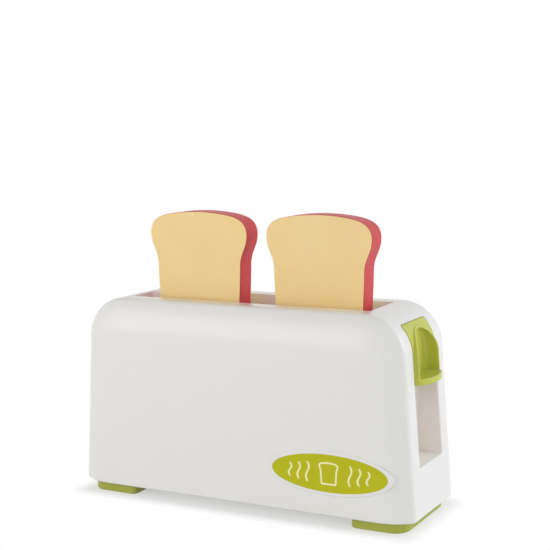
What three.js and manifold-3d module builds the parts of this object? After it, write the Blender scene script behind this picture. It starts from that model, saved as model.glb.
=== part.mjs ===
// Toy toaster: a moulded shell on two feet, with a sprung carriage that lifts two slices of toy bread.
// Millimetres. +X points to the lever end, -Y to the front, +Z up. The feet stand on Z = 0.

import * as THREE from 'three';
import { mergeVertices } from 'three/addons/utils/BufferGeometryUtils.js';
import Module from 'manifold-3d';

const wasm = await Module();
wasm.setup();

// Body shell
const bodyLength = 210;
const bodyDepth = 71;
const bodyHeight = 109.5;
const endNarrowing = 7;
const shoulderRadius = 23.5;
const borderRun = 19;
const borderRadius = 27;
const tightestCorner = 2;
const wall = 2.2;

// Clearances
const fit = 0.3;
const runningGap = 0.7;
const overrun = 3;

// Feet and base plate
const footHeight = 6;
const footWidth = 31;
const footEndSetback = 5;
const footFrontSetback = 4.5;
const footOuterCorner = 9;
const footInnerCorner = 3;
const basePlateThickness = 2.5;

// Bread slot and the chamber under it
const slotEndMargin = 30.3;
const slotWidth = 33.4;
const collarWall = 1.8;
const collarDepth = 10;
const chamberSkirt = 4.2;
const ribThickness = 2;
const ribInset = 10.5;
const ribSetdown = 4;
const ribLeadIn = 9;
const earThickness = 2;
const earWidth = 9;
const earInset = 19.8;

// Slices of bread
const sliceEndGap = 4;
const sliceMiddleGap = 12.3;
const sliceShiftX = 0.6;
const sliceShiftY = 1.6;
const sliceHeight = 69.5;
const sliceWaistInset = 4.6;
const sliceFootInset = 6;
const sliceThickness = 13.6;
const sliceFaceThickness = 0.4;
const sliceFaceSetback = 0.2;
const sliceFootCorner = 6.5;

// Outline of a slice above its foot, as shares of its height and half width
const waistHeightShare = 0.555;
const lobeStartHeightShare = 0.667;
const lobeRiseHeightShare = 0.71;
const lobeHeightShare = 0.816;
const lobeTopHeightShare = 0.92;
const crownSideHeightShare = 0.955;
const crownStartHeightShare = 0.975;
const crownRiseHeightShare = 0.992;
const crownSideWidthShare = 0.839;
const crownStartWidthShare = 0.621;
const crownRiseWidthShare = 0.435;
const crownFlatWidthShare = 0.186;

// How far a curve with two equal handles reaches towards them, as a share
const lipReachShare = 0.75;

// Carriage, its guide rods and springs
const carriageThickness = 4;
const neckWidth = 6;
const bracketWidth = 8;
const bracketHeight = 8;
const bracketReach = 5;
const rodRadius = 2;
const rodOffset = 9.5;
const rodTopSetdown = 8;
const rodSeat = 3;
const bossWall = 2;
const socketHeight = 5.5;
const springWire = 0.8;
const springMeanRadius = 2.9;
const springTurns = 14;
const rodBossDepth = 4;

// Lever and its recess in the end of the shell
const leverWidth = 32.1;
const leverSetdown = 6.9;
const leverHeight = 31.6;
const leverTravel = 42;
const leverStopGap = 2;
const lipThickness = 3.4;
const lipBulge = 6.6;
const lipCornerInset = 3;
const recessBackGap = 2.2;
const knobBackWall = 3.9;
const scoopSideWall = 1.85;
const scoopSetdown = 2.9;
const scoopRimWidth = 1.4;
const scoopRimProud = 2.4;
const scoopRimDrop = 3;
const scoopRimFoot = 2;
const tongueWidth = 6;
const tongueThickness = 4;
const tongueTipLength = 3.4;
const tongueSetdown = 9.7;

// Badge and the raised pad it lies in
const badgeEndSetback = 46;
const badgeZ = 29.8;
const badgeLength = 69.8;
const badgeHeight = 22.4;
const badgeThickness = 0.8;
const padEndBorder = 1.9;
const padSideBorder = 1.1;
const padProud = 0.6;

// Screws
const screwRadius = 1.3;
const screwHeadRadius = 2.5;
const screwHeadHeight = 1.8;
const baseScrewSetback = 17;
const baseScrewInset = 13.5;
const baseScrewLength = 18.5;
const baseBossHeight = 17.5;
const baseBossRib = 2;
const counterboreDepth = 3.5;
const chamberScrewLength = 8.2;
const leverScrewLength = 9;

// How finely round shapes are divided
const borderSteps = 5;
const shoulderSteps = 8;
const roundSides = 20;
const boreSides = 16;
const cornerSteps = 4;
const sliceCurveSteps = 7;
const ellipseSteps = 24;
const archSteps = 12;
const lipSteps = 8;
const springStepsPerTurn = 8;
const springSides = 5;

// Sizes worked out from the ones above
const bodyTop = footHeight + bodyHeight;
const lean = Math.atan(endNarrowing / bodyHeight);
const shoulderZ = bodyTop - shoulderRadius;
const shoulderEndX = bodyLength / 2 - Math.tan(lean) * (shoulderZ - footHeight);
const shoulderX = shoulderEndX - shoulderRadius / Math.cos(lean);
const borderWidth = Math.min(borderRun, shoulderRadius - wall - tightestCorner);
const borderCentreY = bodyDepth / 2 - borderRadius;

const slotLength = bodyLength - 2 * slotEndMargin;
const basePlateTop = footHeight + basePlateThickness;
const collarBottom = bodyTop - collarDepth;
const chamberTop = collarBottom - fit;
const collarHalfLength = slotLength / 2 + collarWall;
const collarHalfWidth = slotWidth / 2 + collarWall;
const earX = slotLength / 2 - earInset;
const earY = collarHalfWidth + fit + screwRadius + bossWall;

const bracketInnerX = collarHalfLength + runningGap;
const bracketOuterX = bracketInnerX + bracketWidth;
const recessBackX = bracketOuterX + recessBackGap + wall;
const rodX = (bracketInnerX + bracketOuterX) / 2;
const leverTopZ = bodyTop - leverSetdown;
const leverBottomZ = leverTopZ - leverHeight;
const recessHalfWidth = leverWidth / 2 + fit;
const recessTop = leverTopZ + fit;
const recessLedge = leverBottomZ - leverTravel - leverStopGap;

const carriageTop = leverTopZ - tongueSetdown - tongueThickness;
const carriageBottom = carriageTop - carriageThickness;
const chamberBottom = carriageBottom - leverTravel - chamberSkirt;
const bracketBottom = carriageTop - bracketHeight;
const sliceBottom = carriageTop + fit;
const sliceWidth = (slotLength - sliceMiddleGap) / 2 - sliceEndGap;
const sliceSpacing = sliceWidth + sliceMiddleGap;
const sliceWaistWidth = sliceWidth - 2 * sliceWaistInset;
const sliceFootWidth = sliceWidth - 2 * sliceFootInset;
const ribSpacing = sliceFootWidth - 2 * ribInset;
const sliceCrustThickness = sliceThickness - 2 * sliceFaceThickness;
const socketTop = basePlateTop + socketHeight;
const rodBottom = footHeight + rodSeat;
const rodTopZ = bodyTop - rodTopSetdown;
const tongueTop = carriageTop + tongueThickness;
const leverScrewX = bracketOuterX - tongueTipLength;

const screwHoleRadius = screwRadius + fit;
const bossRadius = screwHoleRadius + bossWall;
const baseScrewX = bodyLength / 2 - baseScrewSetback;
const baseScrewSide = bodyDepth / 2 - baseScrewInset;
const badgeX = bodyLength / 2 - badgeEndSetback;
const footOuterX = bodyLength / 2 - footEndSetback;
const footHalfDepth = bodyDepth / 2 - footFrontSetback;
const sides = [-1, 1];

// Finishes
const whitePlastic = { color: 0xf1f0ec, roughness: 0.34, metalness: 0 };
const chamberPlastic = { color: 0xeae8e2, roughness: 0.5, metalness: 0 };
const limePlastic = { color: 0xa9c944, roughness: 0.4, metalness: 0 };
const badgeGreen = { color: 0x77b63c, roughness: 0.45, metalness: 0 };
const crustRed = { color: 0xc63a2e, roughness: 0.45, metalness: 0 };
const breadBeige = { color: 0xe6d6b4, roughness: 0.55, metalness: 0 };
const carriagePlastic = { color: 0xd9d8d2, roughness: 0.5, metalness: 0 };
const steel = { color: 0xb4b6b8, roughness: 0.3, metalness: 1 };

// Turns a closed three.js geometry into a solid that can be joined and cut.
function solid(geometry) {
  const bare = geometry.index ? geometry.toNonIndexed() : geometry.clone();
  bare.deleteAttribute('normal');
  bare.deleteAttribute('uv');
  const merged = mergeVertices(bare);
  const vertProperties = Float32Array.from(merged.attributes.position.array);
  const triVerts = Uint32Array.from(merged.index.array);
  return new wasm.Manifold(new wasm.Mesh({ numProp: 3, vertProperties, triVerts }));
}

// Turns a solid back into a geometry that a mesh can show.
function geometryOf(body) {
  const result = body.getMesh();
  const geometry = new THREE.BufferGeometry();
  geometry.setAttribute('position', new THREE.BufferAttribute(result.vertProperties, 3));
  geometry.setIndex(new THREE.BufferAttribute(result.triVerts, 1));
  geometry.computeVertexNormals();
  return geometry;
}

function block(low, high) {
  const size = high.map((value, axis) => value - low[axis]);
  const middle = high.map((value, axis) => (value + low[axis]) / 2);
  return solid(new THREE.BoxGeometry(...size).translate(...middle));
}

function post(x, y, lowZ, highZ, radius, sideCount = roundSides) {
  const geometry = new THREE.CylinderGeometry(radius, radius, highZ - lowZ, sideCount);
  return solid(geometry.rotateX(Math.PI / 2).translate(x, y, (lowZ + highZ) / 2));
}

// A flat shape drawn in X and Z, made solid from backY forward to frontY.
function forwardPlate(shape, backY, frontY, curveSegments) {
  const depth = backY - frontY;
  const geometry = new THREE.ExtrudeGeometry(shape, { depth, curveSegments, bevelEnabled: false });
  return solid(geometry.rotateX(Math.PI / 2).translate(0, backY, 0));
}

// A flat shape drawn in X and Y, made solid from lowZ up to highZ.
function levelPlate(shape, lowZ, highZ, curveSegments) {
  const depth = highZ - lowZ;
  const geometry = new THREE.ExtrudeGeometry(shape, { depth, curveSegments, bevelEnabled: false });
  return solid(geometry.translate(0, 0, lowZ));
}

// A flat shape drawn in Y and Z, made solid from backX out to frontX.
function endPlate(shape, backX, frontX, curveSegments) {
  const depth = frontX - backX;
  const geometry = new THREE.ExtrudeGeometry(shape, { depth, curveSegments, bevelEnabled: false });
  return solid(geometry.rotateX(Math.PI / 2).rotateZ(Math.PI / 2).translate(backX, 0, 0));
}

// The body's outline seen from the front, drawn in by inset at the ends, shoulders and top.
function bodyOutline(inset, bottomZ) {
  const radius = shoulderRadius - inset;
  const footX = shoulderX + radius / Math.cos(lean) + Math.tan(lean) * (shoulderZ - bottomZ);
  const points = [[-footX, bottomZ], [footX, bottomZ]];
  for (const side of [1, -1]) {
    for (let step = 0; step <= shoulderSteps; step++) {
      const turn = side > 0 ? step / shoulderSteps : 1 - step / shoulderSteps;
      const angle = lean + (Math.PI / 2 - lean) * turn;
      points.push([side * (shoulderX + radius * Math.cos(angle)), shoulderZ + radius * Math.sin(angle)]);
    }
  }
  return points;
}

// The whole pillow-edged body as a solid, with its skin drawn in by inset.
function bodyForm(inset, bottomZ) {
  const radius = borderRadius - inset;
  const sweep = Math.asin((borderWidth - inset) / radius);
  const rings = [];
  for (let step = 0; step <= borderSteps; step++) {
    const angle = sweep * step / borderSteps;
    const ring = bodyOutline(borderWidth - radius * Math.sin(angle), bottomZ);
    rings.push(ring.map(([x, z]) => [x, -borderCentreY - radius * Math.cos(angle), z]));
  }
  const backRings = rings.map((ring) => ring.map(([x, y, z]) => [x, -y, z]));
  return solid(loft([...rings, ...backRings.reverse()]));
}

// Skins a row of closed rings with the same number of points, and closes both ends with fans.
function loft(rings) {
  const count = rings[0].length;
  const last = rings.length - 1;
  const faces = [];
  for (let row = 0; row < last; row++) {
    for (let i = 0; i < count; i++) {
      const a = row * count + i;
      const b = row * count + (i + 1) % count;
      faces.push(a, a + count, b + count, a, b + count, b);
    }
  }
  for (let i = 1; i < count - 1; i++) {
    faces.push(0, i, i + 1, last * count, last * count + i + 1, last * count + i);
  }
  const geometry = new THREE.BufferGeometry();
  geometry.setAttribute('position', new THREE.Float32BufferAttribute(rings.flat(2), 3));
  geometry.setIndex(faces);
  return geometry;
}

function ellipseShape(x, z, halfLength, halfHeight) {
  const shape = new THREE.Shape();
  shape.absellipse(x, z, halfLength, halfHeight, 0, 2 * Math.PI, false, 0);
  return shape;
}

// The slot's collar hangs from the top of the shell and meets the bread chamber.
function slotCollar() {
  return block(
    [-collarHalfLength, -collarHalfWidth, collarBottom],
    [collarHalfLength, collarHalfWidth, bodyTop + overrun]
  );
}

function slotOpening() {
  return block(
    [-slotLength / 2, -slotWidth / 2, collarBottom - overrun],
    [slotLength / 2, slotWidth / 2, bodyTop + overrun]
  );
}

// The pocket in the end of the shell that the lever slides in, as its walls and as its space.
function leverPocket(skin) {
  return block(
    [recessBackX - skin, -recessHalfWidth - skin, recessLedge - skin],
    [bodyLength / 2 + overrun, recessHalfWidth + skin, recessTop + skin]
  );
}

// The slit in the pocket's back that the lever's tongue runs in.
function tongueSlit() {
  const halfWidth = tongueWidth / 2 + runningGap;
  return block(
    [recessBackX - wall - overrun, -halfWidth, carriageTop - leverTravel - runningGap],
    [recessBackX + overrun, halfWidth, tongueTop + runningGap]
  );
}

// Bosses for the screws that hold the base plate, each with a rib to the nearest long wall.
function baseBosses() {
  const topZ = basePlateTop + baseBossHeight;
  let bosses = null;
  for (const sideX of sides) {
    for (const sideY of sides) {
      const x = sideX * baseScrewX;
      const y = sideY * baseScrewSide;
      const ribEnds = [y, sideY * bodyDepth / 2].sort((a, b) => a - b);
      const rib = block(
        [x - baseBossRib / 2, ribEnds[0], basePlateTop],
        [x + baseBossRib / 2, ribEnds[1], topZ]
      );
      const boss = post(x, y, basePlateTop, topZ, bossRadius).add(rib);
      bosses = bosses ? bosses.add(boss) : boss;
    }
  }
  return bosses;
}

// Places of the four base screws, the four chamber screws and the two guide rods.
const baseScrewPlaces = sides.flatMap((x) => sides.map((y) => [x * baseScrewX, y * baseScrewSide]));
const chamberScrewPlaces = sides.flatMap((x) => sides.map((y) => [x * earX, y * earY]));
const rodPlaces = sides.map((side) => [side * rodX, side * rodOffset]);

function housing() {
  const pad = forwardPlate(
    ellipseShape(badgeX, badgeZ, badgeLength / 2 + padEndBorder, badgeHeight / 2 + padSideBorder),
    -borderCentreY, -bodyDepth / 2 - padProud, ellipseSteps
  );
  let shell = bodyForm(0, footHeight).add(pad).subtract(bodyForm(wall, footHeight - overrun));
  let inside = slotCollar().add(leverPocket(wall)).add(baseBosses());
  for (const [x, y] of chamberScrewPlaces) {
    inside = inside.add(post(x, y, collarBottom - fit, bodyTop, bossRadius));
  }
  for (const [x, y] of rodPlaces) {
    inside = inside.add(post(x, y, rodTopZ - rodBossDepth, bodyTop, rodRadius + fit + bossWall));
  }
  shell = shell.add(inside.intersect(bodyForm(0, footHeight)));
  shell = shell.subtract(slotOpening()).subtract(leverPocket(0)).subtract(tongueSlit());
  for (const [x, y] of baseScrewPlaces) {
    const holeTop = counterboreDepth + baseScrewLength + fit;
    shell = shell.subtract(post(x, y, basePlateTop - overrun, holeTop, screwHoleRadius, boreSides));
  }
  for (const [x, y] of chamberScrewPlaces) {
    const holeTop = chamberTop - earThickness + chamberScrewLength + fit;
    shell = shell.subtract(post(x, y, chamberTop - overrun, holeTop, screwHoleRadius, boreSides));
  }
  for (const [x, y] of rodPlaces) {
    const holeBottom = rodTopZ - rodBossDepth - overrun;
    shell = shell.subtract(post(x, y, holeBottom, rodTopZ + fit, rodRadius + fit, boreSides));
  }
  const seat = forwardPlate(
    ellipseShape(badgeX, badgeZ, badgeLength / 2 + fit, badgeHeight / 2 + fit),
    -bodyDepth / 2, -bodyDepth / 2 - padProud - overrun, ellipseSteps
  );
  return shell.subtract(seat);
}

// One guide rib on a long wall of the chamber, sloped at its top to lead the bread in.
function chamberRib(x, side) {
  const tipY = sliceThickness / 2 + runningGap + side * sliceShiftY;
  const rootY = slotWidth / 2 + collarWall / 2;
  const topZ = chamberTop - ribSetdown;
  const shape = new THREE.Shape();
  shape.moveTo(rootY, chamberBottom);
  shape.lineTo(rootY, topZ);
  shape.lineTo(tipY, topZ - ribLeadIn);
  shape.lineTo(tipY, chamberBottom);
  shape.closePath();
  const geometry = new THREE.ExtrudeGeometry(shape, { depth: ribThickness, bevelEnabled: false });
  geometry.rotateX(Math.PI / 2).rotateZ(Math.PI / 2);
  geometry.translate(x - ribThickness / 2, 0, 0);
  return solid(side > 0 ? geometry : geometry.rotateZ(Math.PI).translate(2 * x, 0, 0));
}

function breadChamber() {
  let chamber = block(
    [-collarHalfLength, -collarHalfWidth, chamberBottom],
    [collarHalfLength, collarHalfWidth, chamberTop]
  );
  for (const [x, y] of chamberScrewPlaces) {
    const edges = [0, y + Math.sign(y) * bossRadius].sort((a, b) => a - b);
    chamber = chamber.add(block(
      [x - earWidth / 2, edges[0], chamberTop - earThickness],
      [x + earWidth / 2, edges[1], chamberTop]
    ));
  }
  chamber = chamber.subtract(block(
    [-slotLength / 2, -slotWidth / 2, chamberBottom - overrun],
    [slotLength / 2, slotWidth / 2, chamberTop + overrun]
  ));
  const neckHalf = neckWidth / 2 + runningGap;
  chamber = chamber.subtract(block(
    [-collarHalfLength - overrun, -neckHalf, chamberBottom - overrun],
    [collarHalfLength + overrun, neckHalf, carriageTop + runningGap]
  ));
  for (const [x, y] of chamberScrewPlaces) {
    chamber = chamber.subtract(post(x, y, chamberTop - earThickness - overrun, chamberTop + overrun,
      screwHoleRadius, boreSides));
  }
  for (const slice of sides) {
    for (const edge of sides) {
      for (const side of sides) {
        const x = sliceShiftX + (slice * sliceSpacing + edge * ribSpacing) / 2;
        chamber = chamber.add(chamberRib(x, side));
      }
    }
  }
  return chamber;
}

function basePlate() {
  const reach = bodyLength / 2;
  let plate = bodyForm(wall + fit, footHeight - overrun).intersect(
    block([-reach, -reach, footHeight], [reach, reach, basePlateTop])
  );
  for (const [x, y] of rodPlaces) {
    plate = plate.add(post(x, y, footHeight, socketTop, rodRadius + fit + bossWall));
    plate = plate.subtract(post(x, y, rodBottom, socketTop + overrun, rodRadius + fit, boreSides));
  }
  for (const [x, y] of baseScrewPlaces) {
    const hole = post(x, y, footHeight - overrun, basePlateTop + overrun, screwHoleRadius, boreSides);
    plate = plate.subtract(hole);
  }
  return plate;
}

// A foot is one bar across the base, rounded most at its outer corners.
function foot(side) {
  const outer = footOuterX;
  const inner = footOuterX - footWidth;
  const half = footHalfDepth;
  const shape = new THREE.Shape();
  shape.moveTo(inner + footInnerCorner, -half);
  shape.lineTo(outer - footOuterCorner, -half);
  shape.quadraticCurveTo(outer, -half, outer, -half + footOuterCorner);
  shape.lineTo(outer, half - footOuterCorner);
  shape.quadraticCurveTo(outer, half, outer - footOuterCorner, half);
  shape.lineTo(inner + footInnerCorner, half);
  shape.quadraticCurveTo(inner, half, inner, half - footInnerCorner);
  shape.lineTo(inner, -half + footInnerCorner);
  shape.quadraticCurveTo(inner, -half, inner + footInnerCorner, -half);
  let bar = levelPlate(shape, 0, footHeight, cornerSteps);
  for (const y of sides.map((end) => end * baseScrewSide)) {
    bar = bar.subtract(post(baseScrewX, y, -overrun, footHeight + overrun, screwHoleRadius, boreSides));
    bar = bar.subtract(post(baseScrewX, y, -overrun, counterboreDepth, screwHeadRadius + fit, boreSides));
  }
  return side > 0 ? bar : solid(geometryOf(bar).rotateZ(Math.PI));
}

function badge() {
  const shape = ellipseShape(badgeX, badgeZ, badgeLength / 2, badgeHeight / 2);
  return forwardPlate(shape, -bodyDepth / 2, -bodyDepth / 2 - badgeThickness, ellipseSteps);
}

function guideRod([x, y]) {
  return post(x, y, rodBottom, rodTopZ, rodRadius);
}

// A compression spring as one unbroken tube, wound round a guide rod from its socket to the bracket.
function liftSpring([x, y]) {
  const wireRadius = springWire / 2;
  const lowZ = socketTop + fit + wireRadius;
  const highZ = bracketBottom - fit - wireRadius;
  const steps = springTurns * springStepsPerTurn;
  const rings = [];
  for (let step = 0; step <= steps; step++) {
    const angle = 2 * Math.PI * step / springStepsPerTurn;
    const centreZ = lowZ + (highZ - lowZ) * step / steps;
    const ring = [];
    for (let side = 0; side < springSides; side++) {
      const around = 2 * Math.PI * side / springSides;
      const radius = springMeanRadius + wireRadius * Math.cos(around);
      ring.push([x + radius * Math.cos(angle), y + radius * Math.sin(angle),
        centreZ + wireRadius * Math.sin(around)]);
    }
    rings.push(ring);
  }
  return solid(loft(rings));
}

// The least gap between neighbouring turns of a spring, measured on points along its wire.
function leastSpringGap() {
  const rise = bracketBottom - socketTop - 2 * fit - springWire;
  const steps = springTurns * springStepsPerTurn;
  const point = (step) => {
    const angle = 2 * Math.PI * step / springStepsPerTurn;
    return new THREE.Vector3(
      springMeanRadius * Math.cos(angle), springMeanRadius * Math.sin(angle), rise * step / steps
    );
  };
  let least = Infinity;
  for (let a = 0; a <= steps; a++) {
    for (let b = a + springStepsPerTurn / 2; b <= steps; b++) {
      least = Math.min(least, point(a).distanceTo(point(b)) - springWire);
    }
  }
  return least;
}

// A bracket runs on a guide rod and joins the carriage outside the chamber.
function bracket(side) {
  const xs = [side * bracketInnerX, side * bracketOuterX].sort((a, b) => a - b);
  const ys = [-side * bracketReach, side * (rodOffset + bracketReach)].sort((a, b) => a - b);
  return block([xs[0], ys[0], bracketBottom], [xs[1], ys[1], carriageTop]);
}

// The carriage is a tray under both slices, with a neck through each end of the chamber.
function carriage() {
  const trayHalfLength = slotLength / 2 - runningGap;
  const trayHalfWidth = sliceThickness / 2;
  let body = block(
    [-trayHalfLength, sliceShiftY - trayHalfWidth, carriageBottom],
    [trayHalfLength, sliceShiftY + trayHalfWidth, carriageTop]
  );
  body = body.add(block(
    [-bracketOuterX, -neckWidth / 2, carriageBottom],
    [bracketOuterX, neckWidth / 2, carriageTop]
  ));
  for (const side of sides) {
    body = body.add(bracket(side));
  }
  for (const [x, y] of rodPlaces) {
    const bore = post(x, y, bracketBottom - overrun, carriageTop + overrun, rodRadius + fit, boreSides);
    body = body.subtract(bore);
  }
  const screwBottom = tongueTop - leverScrewLength - fit;
  return body.subtract(post(leverScrewX, 0, screwBottom, carriageTop + overrun, screwHoleRadius, boreSides));
}

// An arch with upright sides and a half-round top, drawn in Y and Z.
function archShape(halfWidth, lowZ, topZ) {
  const shape = new THREE.Shape();
  shape.moveTo(-halfWidth, lowZ);
  shape.lineTo(halfWidth, lowZ);
  shape.absarc(0, topZ - halfWidth, halfWidth, 0, Math.PI, false);
  return shape;
}

// The lever follows the end of the shell. It has an arched thumb scoop with a raised rim, over a lip that stands out.
function leverKnob() {
  const backX = recessBackX + fit;
  const halfWidth = leverWidth / 2;
  const shellX = shoulderX + shoulderRadius / Math.cos(lean) + Math.tan(lean) * (shoulderZ - leverBottomZ);
  const rimX = shellX + scoopRimFoot;
  const scoopFloor = leverBottomZ + lipThickness;
  const scoopTop = leverTopZ - scoopSetdown;
  const scoopHalf = halfWidth - scoopSideWall;
  const lip = new THREE.Shape();
  const lipPullX = shellX + lipBulge / lipReachShare;
  const lipPullY = halfWidth - lipCornerInset;
  lip.moveTo(backX, -halfWidth);
  lip.lineTo(shellX, -halfWidth);
  lip.bezierCurveTo(lipPullX, -lipPullY, lipPullX, lipPullY, shellX, halfWidth);
  lip.lineTo(backX, halfWidth);
  const face = bodyForm(0, footHeight).intersect(
    block([backX, -halfWidth, leverBottomZ], [bodyLength, halfWidth, leverTopZ])
  );
  const rimArch = archShape(scoopHalf + scoopRimWidth, leverBottomZ, scoopTop + scoopRimWidth);
  const rim = bodyForm(-scoopRimProud, footHeight).translate([0, 0, -scoopRimDrop]).intersect(
    block([backX, -halfWidth, leverBottomZ + fit], [rimX, halfWidth, leverTopZ])
  ).intersect(endPlate(rimArch, backX, bodyLength, archSteps));
  const scoopArch = archShape(scoopHalf, scoopFloor, scoopTop);
  const scoop = endPlate(scoopArch, backX + knobBackWall, bodyLength, archSteps);
  const lipPlate = levelPlate(lip, leverBottomZ, scoopFloor, lipSteps);
  const knob = face.add(rim).add(lipPlate).subtract(scoop);
  const tongue = block(
    [leverScrewX - tongueTipLength, -tongueWidth / 2, carriageTop],
    [backX + fit, tongueWidth / 2, tongueTop]
  );
  const holeEnds = [carriageTop - overrun, tongueTop + overrun];
  const screwHole = post(leverScrewX, 0, ...holeEnds, screwHoleRadius, boreSides);
  return knob.add(tongue).subtract(screwHole);
}

// Half of a slice's outline up one side, drawn in by inset, then mirrored down the other.
function sliceShape(centreX, inset) {
  const half = sliceWidth / 2 - inset;
  const waist = sliceWaistWidth / 2 - inset;
  const footHalf = sliceFootWidth / 2 - inset;
  const low = sliceBottom + inset;
  const height = sliceHeight - 2 * inset;
  const corner = sliceFootCorner;
  const shape = new THREE.Shape();
  shape.moveTo(centreX - footHalf + corner, low);
  shape.lineTo(centreX + footHalf - corner, low);
  shape.quadraticCurveTo(centreX + footHalf, low, centreX + footHalf, low + corner);
  shape.lineTo(centreX + waist, low + height * waistHeightShare);
  shape.bezierCurveTo(
    centreX + waist, low + height * lobeStartHeightShare,
    centreX + half, low + height * lobeRiseHeightShare,
    centreX + half, low + height * lobeHeightShare
  );
  shape.bezierCurveTo(
    centreX + half, low + height * lobeTopHeightShare,
    centreX + half * crownSideWidthShare, low + height * crownSideHeightShare,
    centreX + half * crownStartWidthShare, low + height * crownStartHeightShare
  );
  shape.bezierCurveTo(
    centreX + half * crownRiseWidthShare, low + height * crownRiseHeightShare,
    centreX + half * crownFlatWidthShare, low + height,
    centreX, low + height
  );
  shape.bezierCurveTo(
    centreX - half * crownFlatWidthShare, low + height,
    centreX - half * crownRiseWidthShare, low + height * crownRiseHeightShare,
    centreX - half * crownStartWidthShare, low + height * crownStartHeightShare
  );
  shape.bezierCurveTo(
    centreX - half * crownSideWidthShare, low + height * crownSideHeightShare,
    centreX - half, low + height * lobeTopHeightShare,
    centreX - half, low + height * lobeHeightShare
  );
  shape.bezierCurveTo(
    centreX - half, low + height * lobeRiseHeightShare,
    centreX - waist, low + height * lobeStartHeightShare,
    centreX - waist, low + height * waistHeightShare
  );
  shape.lineTo(centreX - footHalf, low + corner);
  shape.quadraticCurveTo(centreX - footHalf, low, centreX - footHalf + corner, low);
  return shape;
}

function sliceCrust(centreX) {
  const half = sliceCrustThickness / 2;
  return forwardPlate(sliceShape(centreX, 0), sliceShiftY + half, sliceShiftY - half, sliceCurveSteps);
}

function sliceFace(centreX, side) {
  const edges = [side * sliceCrustThickness / 2, side * sliceThickness / 2].sort((a, b) => b - a);
  const shape = sliceShape(centreX, sliceFaceSetback);
  return forwardPlate(shape, sliceShiftY + edges[0], sliceShiftY + edges[1], sliceCurveSteps);
}

// A screw whose head bears on headZ, pointing up (+1) or down (-1).
function screw([x, y], headZ, direction, length) {
  const headEnds = [headZ, headZ - direction * screwHeadHeight].sort((a, b) => a - b);
  const shankStart = headZ - direction * screwHeadHeight / 2;
  const shankEnds = [shankStart, headZ + direction * length].sort((a, b) => a - b);
  return post(x, y, headEnds[0], headEnds[1], screwHeadRadius, boreSides)
    .add(post(x, y, shankEnds[0], shankEnds[1], screwRadius, boreSides));
}

const toaster = new THREE.Group();

function addPiece(name, body, finish) {
  const mesh = new THREE.Mesh(geometryOf(body), new THREE.MeshStandardMaterial(finish));
  mesh.name = name;
  toaster.add(mesh);
}

addPiece('housing', housing(), whitePlastic);
addPiece('bread_chamber', breadChamber(), chamberPlastic);
addPiece('base_plate', basePlate(), whitePlastic);
addPiece('badge', badge(), badgeGreen);
addPiece('carriage', carriage(), carriagePlastic);
addPiece('lever_knob', leverKnob(), limePlastic);
addPiece('lever_screw', screw([leverScrewX, 0], tongueTop, -1, leverScrewLength), steel);

['left', 'right'].forEach((name, index) => {
  const side = sides[index];
  const centreX = sliceShiftX + side * sliceSpacing / 2;
  addPiece(`${name}_foot`, foot(side), limePlastic);
  addPiece(`${name}_guide_rod`, guideRod(rodPlaces[index]), steel);
  addPiece(`${name}_spring`, liftSpring(rodPlaces[index]), steel);
  addPiece(`${name}_slice_crust`, sliceCrust(centreX), crustRed);
  addPiece(`${name}_slice_front`, sliceFace(centreX, -1), breadBeige);
  addPiece(`${name}_slice_back`, sliceFace(centreX, 1), breadBeige);
});

baseScrewPlaces.forEach((place, index) => {
  addPiece(`base_screw_${index + 1}`, screw(place, counterboreDepth, 1, baseScrewLength), steel);
});
chamberScrewPlaces.forEach((place, index) => {
  const body = screw(place, chamberTop - earThickness, 1, chamberScrewLength);
  addPiece(`chamber_screw_${index + 1}`, body, steel);
});

console.log(`least gap between spring turns: ${leastSpringGap().toFixed(2)} mm`);

export default toaster;
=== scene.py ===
import bpy
import bmesh
import math
from mathutils import Matrix, Vector


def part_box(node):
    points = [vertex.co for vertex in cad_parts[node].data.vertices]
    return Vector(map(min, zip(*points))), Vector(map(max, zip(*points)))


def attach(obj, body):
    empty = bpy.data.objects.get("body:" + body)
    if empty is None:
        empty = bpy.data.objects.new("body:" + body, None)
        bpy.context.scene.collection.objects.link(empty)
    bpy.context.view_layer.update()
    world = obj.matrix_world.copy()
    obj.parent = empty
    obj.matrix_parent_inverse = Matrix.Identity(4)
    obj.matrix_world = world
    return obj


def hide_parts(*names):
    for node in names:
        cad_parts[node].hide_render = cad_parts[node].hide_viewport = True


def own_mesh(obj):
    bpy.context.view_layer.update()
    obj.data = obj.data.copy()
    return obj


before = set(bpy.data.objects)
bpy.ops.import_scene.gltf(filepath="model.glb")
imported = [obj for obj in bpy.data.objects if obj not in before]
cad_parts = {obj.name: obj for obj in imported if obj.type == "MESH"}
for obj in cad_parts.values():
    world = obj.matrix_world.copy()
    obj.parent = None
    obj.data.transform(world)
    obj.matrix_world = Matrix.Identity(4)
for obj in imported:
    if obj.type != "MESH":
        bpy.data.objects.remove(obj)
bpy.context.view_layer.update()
scene = bpy.context.scene
scene.view_settings.view_transform = "Standard"
mm = 0.001
nearby = 0.01 * mm
facing = 0.9  # a normal with this much of an axis counts as pointing along it
upright = 0.3  # and a wall's normal has less than this of the vertical
sharpAngle = 32  # in degrees: faces that meet at less are shaded as one
flatWeight = 80


# Helpers for materials

def newMaterial(name):
    material = bpy.data.materials.new(name)
    material.use_nodes = True
    nodes = material.node_tree.nodes
    nodes.clear()
    output = nodes.new("ShaderNodeOutputMaterial")
    shader = nodes.new("ShaderNodeBsdfPrincipled")
    material.node_tree.links.new(shader.outputs[0], output.inputs[0])
    return material, material.node_tree, shader


def addNode(tree, kind, links=(), operation=None):
    node = tree.nodes.new(kind)
    if operation:
        node.operation = operation
    for socket, source in links:
        tree.links.new(source, node.inputs[socket])
    return node


def setInputs(node, values):
    for name, value in values.items():
        node.inputs[name].default_value = value


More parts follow.
